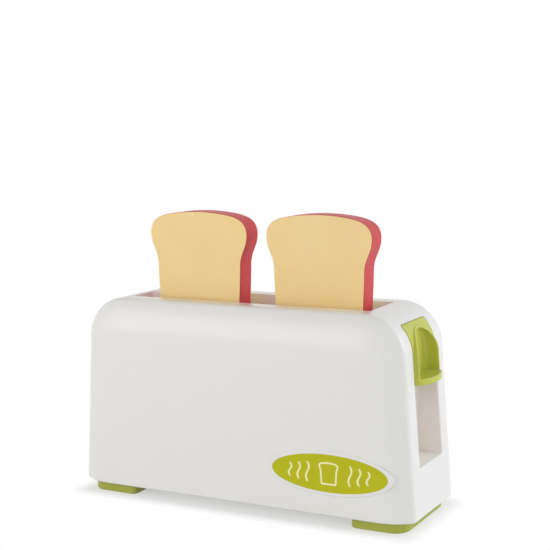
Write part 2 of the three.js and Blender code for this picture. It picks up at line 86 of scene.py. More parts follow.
def noise(tree, scale, detail, roughness=0.5):
    coordinates = addNode(tree, "ShaderNodeTexCoord")
    texture = addNode(tree, "ShaderNodeTexNoise", [("Vector", coordinates.outputs["Object"])])
    setInputs(texture, {"Scale": scale, "Detail": detail, "Roughness": roughness})
    return texture.outputs[0]


def spread(tree, source, low, high, start=0.3, end=0.7):
    node = addNode(tree, "ShaderNodeMapRange", [("Value", source)])
    setInputs(node, {"From Min": start, "From Max": end, "To Min": low, "To Max": high})
    return node.outputs[0]


def colourMix(tree, factor, first, second):  # inputs 6 and 7 and output 2 of the node are its colours
    node = tree.nodes.new("ShaderNodeMix")
    node.data_type = "RGBA"
    tree.links.new(factor, node.inputs[0])
    node.inputs[6].default_value = (*first, 1)
    node.inputs[7].default_value = (*second, 1)
    return node.outputs[2]


def toLinear(red, green, blue):  # from the levels of a screen to linear light
    values = []
    for level in (red, green, blue):
        part = level / 255
        values.append(part / 12.92 if part <= 0.04045 else ((part + 0.055) / 1.055) ** 2.4)
    return values


plastic = {
    "mottleDetail": 3, "mottleFrom": 0.35, "mottleTo": 0.65, "sheenDetail": 2,
    "skinDetail": 4, "skinMix": 0.6, "ior": 1.49, "depthColours": (1.0, 0.9, 0.7), "depthReach": 1.5 * mm,
}


def mouldedPlastic(name, look):
    material, tree, shader = newMaterial(name)
    base = toLinear(*look["colour"])
    other = toLinear(*look["mottle"])
    clouds = noise(tree, look["mottleScale"], plastic["mottleDetail"])
    share = spread(tree, clouds, 0, 1, plastic["mottleFrom"], plastic["mottleTo"])
    tree.links.new(colourMix(tree, share, base, other), shader.inputs["Base Color"])
    sheen = spread(tree, noise(tree, look["sheenScale"], plastic["sheenDetail"]),
                   look["roughness"] - look["roughSpread"], look["roughness"] + look["roughSpread"])
    tree.links.new(sheen, shader.inputs["Roughness"])
    setInputs(shader, {
        "IOR": plastic["ior"], "Specular IOR Level": look["shine"],
        "Coat Weight": look["coat"], "Coat Roughness": look["coatRoughness"],
        "Subsurface Weight": look["depthLight"], "Subsurface Radius": plastic["depthColours"],
        "Subsurface Scale": plastic["depthReach"],
    })
    grain = noise(tree, look["skinScale"], plastic["skinDetail"], plastic["skinMix"])
    skin = addNode(tree, "ShaderNodeBump", [("Height", grain)])
    setInputs(skin, {"Strength": look["skinStrength"], "Distance": look["skinHeight"]})
    tree.links.new(skin.outputs[0], shader.inputs["Normal"])
    return material


plasticLooks = {
    "shellWhite": {
        "colour": (238, 237, 234), "mottle": (237, 236, 233), "mottleScale": 9,
        "roughness": 0.24, "roughSpread": 0.005, "sheenScale": 14, "shine": 0.35,
        "coat": 0.2, "coatRoughness": 0.08, "depthLight": 0.05,
        "skinScale": 900, "skinStrength": 0.12, "skinHeight": 0.02 * mm,
    },
    # brighter than the shell: painted light on the slot's walls and the recess's ledge
    "slotPaintedLight": {
        "colour": (253, 250, 246), "mottle": (252, 248, 243), "mottleScale": 30,
        "roughness": 0.45, "roughSpread": 0.03, "sheenScale": 80, "shine": 0.3,
        "coat": 0.1, "coatRoughness": 0.2, "depthLight": 0.05,
        "skinScale": 1100, "skinStrength": 0.12, "skinHeight": 0.02 * mm,
    },
    # warmer than the shell: painted warm shade on the recess's upright walls
    "recessPaintedShade": {
        "colour": (240, 234, 229), "mottle": (239, 232, 227), "mottleScale": 30,
        "roughness": 0.45, "roughSpread": 0.03, "sheenScale": 80, "shine": 0.3,
        "coat": 0.1, "coatRoughness": 0.2, "depthLight": 0.05,
        "skinScale": 1100, "skinStrength": 0.12, "skinHeight": 0.02 * mm,
    },
    "chamberWhite": {
        "colour": (252, 248, 242), "mottle": (251, 246, 240), "mottleScale": 30,
        "roughness": 0.48, "roughSpread": 0.05, "sheenScale": 80, "shine": 0.3,
        "coat": 0.0, "coatRoughness": 0.3, "depthLight": 0.05,
        "skinScale": 1400, "skinStrength": 0.2, "skinHeight": 0.03 * mm,
    },
    "lime": {
        "colour": (200, 203, 88), "mottle": (195, 199, 84), "mottleScale": 40,
        "roughness": 0.34, "roughSpread": 0.04, "sheenScale": 90, "shine": 0.22,
        "coat": 0.08, "coatRoughness": 0.15, "depthLight": 0.08,
        "skinScale": 1500, "skinStrength": 0.15, "skinHeight": 0.02 * mm,
    },
    # the lime made darker and duller: painted shade for the feet under the body's overhang
    "limePaintedShade": {
        "colour": (172, 177, 78), "mottle": (168, 173, 74), "mottleScale": 40,
        "roughness": 0.4, "roughSpread": 0.04, "sheenScale": 90, "shine": 0.25,
        "coat": 0.0, "coatRoughness": 0.15, "depthLight": 0.05,
        "skinScale": 1500, "skinStrength": 0.15, "skinHeight": 0.02 * mm,
    },
    "badgeGreen": {
        "colour": (193, 191, 24), "mottle": (191, 189, 26), "mottleScale": 60,
        "roughness": 0.4, "roughSpread": 0.03, "sheenScale": 120, "shine": 0.2,
        "coat": 0.0, "coatRoughness": 0.2, "depthLight": 0.0,
        "skinScale": 2200, "skinStrength": 0.1, "skinHeight": 0.01 * mm,
    },
    "badgeCream": {
        "colour": (252, 247, 192), "mottle": (251, 245, 186), "mottleScale": 60,
        "roughness": 0.42, "roughSpread": 0.03, "sheenScale": 120, "shine": 0.2,
        "coat": 0.0, "coatRoughness": 0.2, "depthLight": 0.0,
        "skinScale": 2200, "skinStrength": 0.1, "skinHeight": 0.01 * mm,
    },
    "crustRed": {
        "colour": (211, 76, 80), "mottle": (206, 70, 74), "mottleScale": 70,
        "roughness": 0.42, "roughSpread": 0.06, "sheenScale": 110, "shine": 0.15,
        "coat": 0.0, "coatRoughness": 0.25, "depthLight": 0.1,
        "skinScale": 700, "skinStrength": 0.25, "skinHeight": 0.05 * mm,
    },
    "breadBeige": {
        "colour": (251, 221, 159), "mottle": (249, 216, 153), "mottleScale": 22,
        "roughness": 0.5, "roughSpread": 0.05, "sheenScale": 90, "shine": 0.2,
        "coat": 0.0, "coatRoughness": 0.3, "depthLight": 0.1,
        "skinScale": 650, "skinStrength": 0.25, "skinHeight": 0.04 * mm,
    },
    "carriageGrey": {
        "colour": (228, 226, 220), "mottle": (224, 222, 216), "mottleScale": 40,
        "roughness": 0.5, "roughSpread": 0.05, "sheenScale": 80, "shine": 0.3,
        "coat": 0.0, "coatRoughness": 0.3, "depthLight": 0.0,
        "skinScale": 1200, "skinStrength": 0.2, "skinHeight": 0.03 * mm,
    },
}

steel = {
    "dark": (0.5, 0.51, 0.52), "light": (0.62, 0.63, 0.64), "grainScale": 400, "grainDetail": 3,
    "sheenScale": 900, "sheenDetail": 2, "roughness": (0.22, 0.36),
}


def drawnSteel(name):
    material, tree, shader = newMaterial(name)
    shader.inputs["Metallic"].default_value = 1
    grain = noise(tree, steel["grainScale"], steel["grainDetail"])
    tree.links.new(colourMix(tree, grain, steel["dark"], steel["light"]), shader.inputs["Base Color"])
    sheen = noise(tree, steel["sheenScale"], steel["sheenDetail"])
    tree.links.new(spread(tree, sheen, *steel["roughness"]), shader.inputs["Roughness"])
    return material


materials = {name: mouldedPlastic(name, look) for name, look in plasticLooks.items()}
materials["steel"] = drawnSteel("steel")
print("materials made")


# Helpers for objects

def newObject(name, bm):
    mesh = bpy.data.meshes.new(name)
    bm.to_mesh(mesh)
    bm.free()
    piece = bpy.data.objects.new(name, mesh)
    scene.collection.objects.link(piece)
    return piece


def asObject(name, bm, material, body):
    piece = newObject(name, bm)
    piece.data.materials.append(materials[material])
    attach(piece, body)
    return piece


def tool(bm):
    return newObject("tool", bm)


def applyModifiers(piece):
    graph = bpy.context.evaluated_depsgraph_get()
    mesh = bpy.data.meshes.new_from_object(piece.evaluated_get(graph))
    piece.modifiers.clear()
    piece.data = mesh


def combine(piece, other, operation):
    modifier = piece.modifiers.new("join", "BOOLEAN")
    modifier.operation = operation
    modifier.solver = "EXACT"
    modifier.object = other
    applyModifiers(piece)
    bpy.data.objects.remove(other)


def smoothShading(piece):  # large flat faces keep their own normal
    piece.data.shade_smooth()
    piece.data.set_sharp_from_angle(angle=math.radians(sharpAngle))
    modifier = piece.modifiers.new("normals", "WEIGHTED_NORMAL")
    modifier.mode = "FACE_AREA"
    modifier.weight = flatWeight
    modifier.keep_sharp = True
    applyModifiers(piece)


def softEdges(piece, width, segments=3, angle=sharpAngle, chosen=False):
    modifier = piece.modifiers.new("edges", "BEVEL")
    modifier.width = width
    modifier.segments = segments
    modifier.limit_method = "WEIGHT" if chosen else "ANGLE"
    modifier.angle_limit = math.radians(angle)
    modifier.use_clamp_overlap = False
    applyModifiers(piece)
    smoothShading(piece)


def blendEdges(piece, voxel, rounds, factor):  # remeshes a small moulding and melts its edges together
    remesh = piece.modifiers.new("remesh", "REMESH")
    remesh.mode = "VOXEL"
    remesh.voxel_size = voxel
    smooth = piece.modifiers.new("smooth", "SMOOTH")
    smooth.factor = factor
    smooth.iterations = rounds
    applyModifiers(piece)
    piece.data.shade_smooth()


# Helpers for shapes

def move(bm, step):
    bmesh.ops.translate(bm, vec=step, verts=bm.verts)


def stretch(bm, shares):
    bmesh.ops.scale(bm, vec=shares, verts=bm.verts)


def standUp(bm):  # a shape that was drawn flat then faces the front
    bmesh.ops.rotate(bm, matrix=Matrix.Rotation(math.pi / 2, 3, "X"), verts=bm.verts)


def bevel(bm, geom, width, segments, affect):
    bmesh.ops.bevel(bm, geom=geom, offset=width, offset_type="OFFSET", segments=segments, profile=0.5,
                    affect=affect, material=-1)


def closeHoles(bm):
    bmesh.ops.holes_fill(bm, edges=[edge for edge in bm.edges if edge.is_boundary])
    bmesh.ops.recalc_face_normals(bm, faces=bm.faces)


def clip(bm, point, normal):
    bmesh.ops.bisect_plane(bm, geom=bm.verts[:] + bm.edges[:] + bm.faces[:], plane_co=point,
                           plane_no=normal, clear_outer=True)
    closeHoles(bm)


def thicken(bm, step):
    grown = bmesh.ops.extrude_face_region(bm, geom=bm.faces[:])["geom"]
    ends = [item for item in grown if isinstance(item, bmesh.types.BMVert)]
    bmesh.ops.translate(bm, vec=step, verts=ends)
    bmesh.ops.recalc_face_normals(bm, faces=bm.faces)


def simplified(mesh, weld, flatAngle):  # a copy without the needless corners and edges of flat faces
    bm = bmesh.new()
    bm.from_mesh(mesh)
    bmesh.ops.remove_doubles(bm, verts=bm.verts, dist=weld)
    bmesh.ops.dissolve_limit(bm, angle_limit=math.radians(flatAngle), verts=bm.verts, edges=bm.edges)
    return bm


def boxMesh(low, high):
    bm = bmesh.new()
    bmesh.ops.create_cube(bm, size=1)
    stretch(bm, [b - a for a, b in zip(low, high)])
    move(bm, [(a + b) / 2 for a, b in zip(low, high)])
    return bm


def postMesh(x, y, low, high, radius, segments):
    bm = bmesh.new()
    bmesh.ops.create_cone(bm, cap_ends=True, segments=segments, radius1=radius, radius2=radius,
                          depth=high - low)
    move(bm, (x, y, (low + high) / 2))
    return bm


def cornerCut(radius, angle):  # how far from a corner its rounding starts
    return radius / math.tan(angle / 2)


def roundedFace(bm, corners, cuts, segments):
    verts = [bm.verts.new(corner) for corner in corners]
    bm.faces.new(verts)
    for vert, cut in zip(verts, cuts):
        if cut:
            bevel(bm, [vert], cut, segments, "VERTICES")


def flatOutline(points, steps):  # a flat face bounded by a closed curve through the points and their handles
    curve = bpy.data.curves.new("outline", "CURVE")
    curve.dimensions = "2D"
    curve.fill_mode = "NONE"
    curve.resolution_u = steps
    spline = curve.splines.new("BEZIER")
    spline.use_cyclic_u = True
    spline.bezier_points.add(len(points) - 1)
    for point, (here, before, after) in zip(spline.bezier_points, points):
        point.handle_left_type = point.handle_right_type = "FREE"
        point.co = (*here, 0)
        point.handle_left = (*before, 0)
        point.handle_right = (*after, 0)
    holder = bpy.data.objects.new("outline", curve)
    scene.collection.objects.link(holder)
    mesh = bpy.data.meshes.new_from_object(holder.evaluated_get(bpy.context.evaluated_depsgraph_get()))
    bpy.data.objects.remove(holder)
    bm = bmesh.new()
    bm.from_mesh(mesh)
    bmesh.ops.remove_doubles(bm, verts=bm.verts, dist=nearby)
    bmesh.ops.contextual_create(bm, geom=bm.edges)
    return bm


# The body shell

housingLow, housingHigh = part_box("housing")
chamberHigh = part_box("bread_chamber")[1]
shell = {
    "length": 2 * housingHigh[0], "depth": 2 * housingHigh[1],
    "footHeight": housingLow[2], "top": housingHigh[2],
    "endNarrowing": 7 * mm, "shoulderRadius": 23.5 * mm, "shoulderSteps": 24, "endSteps": 48,
    "borderRun": 19 * mm, "borderRadius": 27 * mm, "borderSteps": 12,
    "creaseRadius": 4.5 * mm, "creaseSteps": 6,
    "wall": 2.2 * mm, "fit": 0.3 * mm, "overrun": 3 * mm, "carriageGap": 2.2 * mm,
    "slotWidth": 33.4 * mm, "collarWall": 1.8 * mm, "collarDepth": 10 * mm,
    "edge": 1.3 * mm, "edgeSegments": 4, "edgeAngle": 35, "fineShare": 0.5, "pocketShare": 1,
    "weld": 0.005 * mm, "flatAngle": 0.05, "levelGap": 0.05 * mm, "wallGap": 0.1 * mm, "skinGap": 0.3 * mm,
}
lean = math.atan(shell["endNarrowing"] / (shell["top"] - shell["footHeight"]))
shoulderZ = shell["top"] - shell["shoulderRadius"]
shoulderX = (shell["length"] / 2 - math.tan(lean) * (shoulderZ - shell["footHeight"])
             - shell["shoulderRadius"] / math.cos(lean))
borderCentreY = shell["depth"] / 2 - shell["borderRadius"]


def endX(z, inset=0):
    return shoulderX + (shell["shoulderRadius"] - inset) / math.cos(lean) + math.tan(lean) * (shoulderZ - z)


def borderProfile(inset):  # from the end to the flat front: how far in, and how far from the middle
    radius = shell["borderRadius"] - inset
    run = shell["borderRun"] - inset
    crease = shell["creaseRadius"] - inset
    meet = math.asin((run - crease) / (radius - crease))
    creaseY = borderCentreY + (radius - crease) * math.cos(meet)
    points = []
    for step in range(shell["creaseSteps"] + 1):
        turn = (math.pi / 2 - meet) * step / shell["creaseSteps"]
        points.append((crease * (1 - math.cos(turn)), creaseY + crease * math.sin(turn)))
    for step in range(1, shell["borderSteps"] + 1):
        turn = meet * (1 - step / shell["borderSteps"])
        points.append((run - radius * math.sin(turn), borderCentreY + radius * math.cos(turn)))
    return points


def bodyForm(inset, bottomZ):
    profile = borderProfile(inset)
    edgeY = profile[0][1]
    low = bottomZ - 2 * shell["borderRun"]
    high = shell["top"] - inset
    cut = cornerCut(shell["shoulderRadius"] - inset, math.pi / 2 + lean)
    corners = [(-endX(low, inset), -edgeY, low), (endX(low, inset), -edgeY, low),
               (endX(high, inset), -edgeY, high), (-endX(high, inset), -edgeY, high)]
    bm = bmesh.new()
    roundedFace(bm, corners, (0, 0, cut, cut), shell["shoulderSteps"])
    thicken(bm, (0, 2 * edgeY, 0))
    panels = [face for face in bm.faces if abs(face.normal.y) > facing]
    for here, after in zip(profile, profile[1:]):
        bmesh.ops.inset_individual(bm, faces=panels, thickness=after[0] - here[0],
                                   depth=after[1] - here[1], use_even_offset=True)
    clip(bm, (0, 0, bottomZ), (0, 0, -1))
    return bm


def endSlice(inset, backX, lowZ, highZ, halfWidth):  # a level stretch of the body's end, for the lever
    high = shell["top"] - inset
    cut = cornerCut(shell["shoulderRadius"] - inset, math.pi / 2 + lean)
    corners = [(0, -halfWidth, lowZ), (endX(lowZ, inset), -halfWidth, lowZ),
               (endX(high, inset), -halfWidth, high), (0, -halfWidth, high)]
    bm = bmesh.new()
    roundedFace(bm, corners, (0, 0, cut, 0), shell["endSteps"])
    thicken(bm, (0, 2 * halfWidth, 0))
    clip(bm, (0, 0, highZ), (0, 0, 1))
    clip(bm, (backX, 0, 0), (-1, 0, 0))
    return bm


badgeLow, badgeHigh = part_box("badge")
badge = {
    "x": (badgeLow[0] + badgeHigh[0]) / 2, "z": (badgeLow[2] + badgeHigh[2]) / 2,
    "halfLength": (badgeHigh[0] - badgeLow[0]) / 2, "halfHeight": (badgeHigh[2] - badgeLow[2]) / 2,
    "back": badgeHigh[1], "front": badgeLow[1], "outline": 0.9 * mm, "relief": 0.12 * mm,
    "steps": 96, "plateEdge": 0.15 * mm, "plateEdgeSegments": 2,
    "padEndBorder": 1.9 * mm, "padSideBorder": 1.1 * mm, "padRoot": 4.6 * mm,
    "padSteps": 160, "padEdge": 0.55 * mm, "padEdgeSegments": 4,
    "waves": 3, "waveLength": 11 * mm, "waveShrink": 0.16, "waveWidth": 1.1 * mm,
    "waveSwing": 0.9 * mm, "waveBends": 2, "waveSteps": 24, "waveGap": 5.2 * mm,
    "iconHeight": 12.5 * mm, "iconLine": 0.95 * mm, "iconGap": 12.5 * mm,
}
knobLow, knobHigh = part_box("lever_knob")
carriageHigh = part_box("carriage")[1]
recessBack = carriageHigh[0] + shell["carriageGap"] + shell["wall"]
lever = {
    "halfWidth": (knobHigh[1] - knobLow[1]) / 2, "top": knobHigh[2], "bottom": knobLow[2],
    "front": knobHigh[0], "tip": knobLow[0],
    "recessBack": recessBack, "backX": recessBack + shell["fit"], "backWall": 3.9 * mm,
    "travel": 42 * mm, "stopGap": 2 * mm, "runningGap": 0.7 * mm,
    "lip": 3.4 * mm, "lipCornerInset": 3 * mm, "lipReach": 0.75, "lipSteps": 24,
    "scoopHalf": (knobHigh[1] - knobLow[1]) / 2 - 1.85 * mm, "scoopTop": knobHigh[2] - 3.5 * mm,
    "scoopFillet": 2.6 * mm, "filletSegments": 6, "archSteps": 32,
    "rimWidth": 1.15 * mm, "rimProud": 2.4 * mm, "rimDrop": 3 * mm, "rimFoot": 2 * mm,
    "tongueWidth": 6 * mm, "tongueTop": carriageHigh[2] + 4 * mm, "tongueThickness": 4 * mm,
    "voxel": 0.28 * mm, "smoothRounds": 5, "smoothFactor": 0.5,
}
lever["ledge"] = lever["bottom"] - lever["travel"] - lever["stopGap"]


def leverPocket(skin):
    half = lever["halfWidth"] + shell["fit"] + skin
    top = lever["top"] + shell["fit"] + skin
    return boxMesh((lever["recessBack"] - skin, -half, lever["ledge"] - skin),
                   (shell["length"] / 2 + shell["overrun"], half, top))


def edgeShare(edge):  # the share of the widest rounding that an edge of the shell gets
    if not edge.is_convex or edge.calc_face_angle(0) < math.radians(shell["edgeAngle"]):
        return 0
    x, y, z = (edge.verts[0].co + edge.verts[1].co) / 2
    if z < shell["footHeight"] + shell["levelGap"]:
        outside = any(abs(face.normal.z) < facing and face.normal.x * x + face.normal.y * y > 0
                      for face in edge.link_faces)
        return 1 if outside else 0
    if z > shell["top"] - shell["levelGap"]:
        return shell["fineShare"]
    arcGap = shell["shoulderRadius"] - math.hypot(abs(x) - shoulderX, z - shoulderZ)
    onShoulder = abs(x) > shoulderX and z > shoulderZ and arcGap < shell["skinGap"]
    if onShoulder and abs(edge.verts[0].co.y - edge.verts[1].co.y) > lever["halfWidth"]:
        return 0  # the edge above the lever stays sharp, because rounding it folds the mesh
    if abs(x) > endX(z) - shell["wallGap"] or onShoulder:
        return shell["pocketShare"] if z > lever["bottom"] else shell["fineShare"]
    return 0


def paintedLightIndex(face):  # 1, painted light, in the slot and on the recess's ledge; 2, painted warm shade, on the recess's upright walls
    x, y, z = face.calc_center_median()
    slotEdge = shell["slotWidth"] / 2 + shell["wallGap"]
    if abs(x) < chamberHigh[0] and abs(y) < slotEdge and z < shell["top"] - shell["edge"]:
        return 1
    beside = abs(y) < lever["halfWidth"] + 2 * shell["fit"]
    level = lever["ledge"] - shell["wallGap"] < z < lever["top"] + shell["edge"]
    inside = lever["recessBack"] - shell["wallGap"] < x < endX(z) - shell["edge"]
    if not (beside and level and inside):
        return 0
    if face.normal.z > facing and z < lever["ledge"] + shell["edge"]:
        return 1
    return 2 if abs(face.normal.z) < upright else 0


def roundShell(housing):
    bm = simplified(housing.data, shell["weld"], shell["flatAngle"])
    weight = bm.edges.layers.float.new("bevel_weight_edge")
    for edge in bm.edges:
        edge[weight] = edgeShare(edge)
    bm.to_mesh(housing.data)
    bm.free()
    softEdges(housing, shell["edge"], shell["edgeSegments"], chosen=True)


# the slot and the ledge get painted light, and the recess's upright walls get painted shade
def paintLightAndShade(housing):
    for paintedLook in ("slotPaintedLight", "recessPaintedShade"):
        housing.data.materials.append(materials[paintedLook])
    bm = bmesh.new()
    bm.from_mesh(housing.data)
    for face in bm.faces:
        face.material_index = paintedLightIndex(face)
    bm.to_mesh(housing.data)
    bm.free()


def makeHousing():
    slotX, slotY = chamberHigh[0] - shell["collarWall"], shell["slotWidth"] / 2
    collarX, collarY = slotX + shell["collarWall"], slotY + shell["collarWall"]
    collarBottom = shell["top"] - shell["collarDepth"]
    collarTop = shell["top"] - shell["wall"] / 2
    body = bodyForm(0, shell["footHeight"])
    housing = asObject("shell_moulding", body, "shellWhite", "shell")
    combine(housing, tool(bodyForm(shell["wall"], shell["footHeight"] - shell["overrun"])), "DIFFERENCE")
    collar = boxMesh((-collarX, -collarY, collarBottom), (collarX, collarY, collarTop))
    combine(housing, tool(collar), "UNION")
    walls = tool(leverPocket(shell["wall"]))
    combine(walls, tool(bodyForm(shell["wall"] / 2, shell["footHeight"])), "INTERSECT")
    combine(housing, walls, "UNION")
    slot = boxMesh((-slotX, -slotY, collarBottom - shell["overrun"]),
                   (slotX, slotY, shell["top"] + shell["overrun"]))
    combine(housing, tool(slot), "DIFFERENCE")
    combine(housing, tool(leverPocket(0)), "DIFFERENCE")
    slitHalf = lever["tongueWidth"] / 2 + lever["runningGap"]
    slitLow = lever["tongueTop"] - lever["tongueThickness"] - lever["travel"] - lever["runningGap"]
    slitHigh = lever["tongueTop"] + lever["runningGap"]
    slit = boxMesh((lever["recessBack"] - shell["wall"] - shell["overrun"], -slitHalf, slitLow),
                   (lever["recessBack"] + shell["overrun"], slitHalf, slitHigh))
    combine(housing, tool(slit), "DIFFERENCE")
    roundShell(housing)
    paintLightAndShade(housing)
    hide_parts("housing")


def badgeOval(endBorder, sideBorder, backY, frontY, segments):
    bm = bmesh.new()
    bmesh.ops.create_circle(bm, cap_ends=True, segments=segments, radius=1)
    stretch(bm, (badge["halfLength"] + endBorder, badge["halfHeight"] + sideBorder, 1))
    standUp(bm)
    move(bm, (badge["x"], backY, badge["z"]))
    thicken(bm, (0, frontY - backY, 0))
    return bm


def makePad():
    rootY = -shell["depth"] / 2 + badge["padRoot"]
    oval = badgeOval(badge["padEndBorder"], badge["padSideBorder"], rootY, housingLow[1], badge["padSteps"])
    pad = asObject("badge_pad", oval, "shellWhite", "shell")
    softEdges(pad, badge["padEdge"], badge["padEdgeSegments"])


makeHousing()
makePad()
print("housing made")


# The lever

def archMesh(half, low, top, backX, frontX):  # upright sides and a half-round top
    bm = bmesh.new()
    corners = [(backX, -half, low), (backX, half, low), (backX, half, top), (backX, -half, top)]
    roundedFace(bm, corners, (0, 0, half - nearby, half - nearby), lever["archSteps"])
    thicken(bm, (frontX - backX, 0, 0))
    return bm


def scoopMesh(floor):
    backX = lever["backX"] + lever["backWall"]
    bm = archMesh(lever["scoopHalf"], floor, lever["scoopTop"], backX, shell["length"])
    inner = [edge for edge in bm.edges if all(abs(vert.co.x - backX) < nearby for vert in edge.verts)
             and any(vert.co.z > floor + nearby for vert in edge.verts)]
    bevel(bm, inner, lever["scoopFillet"], lever["filletSegments"], "EDGES")
    return bm


def lipMesh(floor):
    base = endX(lever["bottom"])
    pull = base + (lever["front"] - base) / lever["lipReach"]  # the curve goes three quarters of the way
    half = lever["halfWidth"]
    pullY = half - lever["lipCornerInset"]
    edge = [((base, -half), (base, -half), (pull, -pullY)), ((base, half), (pull, pullY), (base, half)),
            ((lever["backX"], half),) * 3, ((lever["backX"], -half),) * 3]
    bm = flatOutline(edge, lever["lipSteps"])
    move(bm, (0, 0, lever["bottom"]))
    thicken(bm, (0, 0, floor - lever["bottom"]))
    return bm


def makeLever():
    half, backX, bottom, drop = lever["halfWidth"], lever["backX"], lever["bottom"], lever["rimDrop"]
    floor = bottom + lever["lip"]
    block = endSlice(0, backX, bottom, lever["top"], half)
    knob = asObject("lever_moulding", block, "lime", "lift")
    bm = endSlice(-lever["rimProud"], backX, bottom + shell["fit"] + drop, lever["top"] + drop, half)
    move(bm, (0, 0, -drop))
    clip(bm, (endX(bottom) + lever["rimFoot"], 0, 0), (1, 0, 0))
    rim = tool(bm)
    arch = archMesh(lever["scoopHalf"] + lever["rimWidth"], bottom, lever["scoopTop"] + lever["rimWidth"],
                    backX - shell["overrun"], shell["length"])
    combine(rim, tool(arch), "INTERSECT")
    combine(knob, rim, "UNION")
    combine(knob, tool(lipMesh(floor)), "UNION")
    combine(knob, tool(scoopMesh(floor)), "DIFFERENCE")
    tongueHalf, tongueTop = lever["tongueWidth"] / 2, lever["tongueTop"]
    tongue = boxMesh((lever["tip"], -tongueHalf, tongueTop - lever["tongueThickness"]),
                     (backX + lever["backWall"] / 2, tongueHalf, tongueTop))
    combine(knob, tool(tongue), "UNION")
    blendEdges(knob, lever["voxel"], lever["smoothRounds"], lever["smoothFactor"])
    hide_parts("lever_knob")


makeLever()
print("lever made")


# The slices of bread

bread = {
    "waistHeight": 0.555, "lobeStart": 0.667, "lobeRise": 0.71, "lobe": 0.816, "lobeTop": 0.92,
    "crownSide": (0.839, 0.955), "crownStart": (0.621, 0.975),
    "crownRise": (0.435, 0.992), "crownFlat": 0.186,
    "waistInset": 4.6 * mm, "footInset": 6 * mm, "footCorner": 6.5 * mm, "cornerPull": 0.6, "curveSteps": 10,
    "parts": (("crust", "crustRed", "crust_red", 0.2 * mm), ("front", "breadBeige", "bread_beige", 0.15 * mm),
              ("back", "breadBeige", "bread_beige", 0.15 * mm)),
}


def sliceOutline(centreX, low, half, height, scale=1):
    waistX = half - bread["waistInset"] * scale
    footX = half - bread["footInset"] * scale
    corner = bread["footCorner"] * scale
    pull = bread["cornerPull"] * corner
    waistZ = height * bread["waistHeight"]
    crown = (bread["crownStart"], bread["crownSide"], bread["crownRise"])
    right = [
        ((footX - corner, 0), (footX - corner - pull, 0), (footX - corner + pull, 0)),
        ((footX, corner), (footX, corner - pull), (footX, corner + pull)),
        ((waistX, waistZ), (waistX, waistZ - corner), (waistX, height * bread["lobeStart"])),
        tuple((half, height * bread[key]) for key in ("lobe", "lobeRise", "lobeTop")),
        tuple((half * x, height * z) for x, z in crown),
        ((0, height), (half * bread["crownFlat"], height), (-half * bread["crownFlat"], height)),
    ]
    left = [[(-x, z) for x, z in (here, after, before)] for here, before, after in reversed(right[:-1])]
    points = [[(centreX + x, low + z) for x, z in triple] for triple in right + left]
    bm = flatOutline(points, bread["curveSteps"])
    standUp(bm)
    return bm


def makeSlice(side):
    low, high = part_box(side + "_slice_crust")
    half = (high[0] - low[0]) / 2
    centreX = (high[0] + low[0]) / 2
    for part, material, slot, edge in bread["parts"]:
        node = side + "_slice_" + part
        partLow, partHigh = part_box(node)
        setback = partLow[0] - low[0]
        bm = sliceOutline(centreX, partLow[2], half - setback, partHigh[2] - partLow[2])
        move(bm, (0, partLow[1], 0))
        thicken(bm, (0, partHigh[1] - partLow[1], 0))
        piece = asObject(node + "_moulding", bm, material, side + "_slice")
        softEdges(piece, edge)
        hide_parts(node)


for side in ("left", "right"):
    makeSlice(side)
print("slices made")


# Feet

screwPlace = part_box("base_screw_4")[0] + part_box("base_screw_4")[1]
foot = {
    "outerCorner": 9 * mm, "innerCorner": 3 * mm, "steps": 10, "edge": 0.8 * mm,
    "screwX": abs(screwPlace[0]) / 2, "screwY": abs(screwPlace[1]) / 2, "holeSteps": 48,
    "bore": 1.6 * mm, "counterbore": 2.8 * mm, "counterDepth": 3.5 * mm,
}


def makeFoot(side):
    node = side + "_foot"
    low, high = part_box(node)
    sign = 1 if side == "right" else -1
    outer = max(abs(low[0]), abs(high[0])) * sign
    inner = min(abs(low[0]), abs(high[0])) * sign
    corners = [(inner, low[1], low[2]), (outer, low[1], low[2]),
               (outer, high[1], low[2]), (inner, high[1], low[2])]
    cuts = (foot["innerCorner"], foot["outerCorner"], foot["outerCorner"], foot["innerCorner"])
    bm = bmesh.new()
    roundedFace(bm, corners, cuts, foot["steps"])
    thicken(bm, (0, 0, high[2] - low[2]))
    # the feet take the darker lime, painted shade from the body's overhang
    piece = asObject(node + "_moulding", bm, "limePaintedShade", "shell")
    softEdges(piece, foot["edge"])
    holes = ((foot["counterDepth"], foot["counterbore"]), (high[2] + shell["overrun"], foot["bore"]))
    for end in (-1, 1):
        x, y = sign * foot["screwX"], end * foot["screwY"]
        for top, radius in holes:
            hole = postMesh(x, y, -shell["overrun"], top, radius, foot["holeSteps"])
            combine(piece, tool(hole), "DIFFERENCE")
    smoothShading(piece)
    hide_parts(node)


for side in ("left", "right"):
    makeFoot(side)
print("feet made")


# Badge: a cream plate with a green face and raised cream marks

def makeWave(side, index, backY):
    sign = 1 if side == "right" else -1
    length = badge["waveLength"] * (1 - badge["waveShrink"] * index)
    bm = bmesh.new()
    bmesh.ops.create_grid(bm, x_segments=1, y_segments=badge["waveSteps"], size=0.5)
    stretch(bm, (badge["waveWidth"], length, 1))
    for vert in bm.verts:
        vert.co.x += badge["waveSwing"] * math.sin(math.pi * badge["waveBends"] * vert.co.y / length)
    standUp(bm)
    shift = sign * (badge["iconGap"] + badge["waveGap"] * index)
    move(bm, (badge["x"] + shift, backY, badge["z"]))
    thicken(bm, (0, -badge["relief"], 0))
    asObject("badge_wave_%s_%d" % (side, index + 1), bm, "badgeCream", "shell")


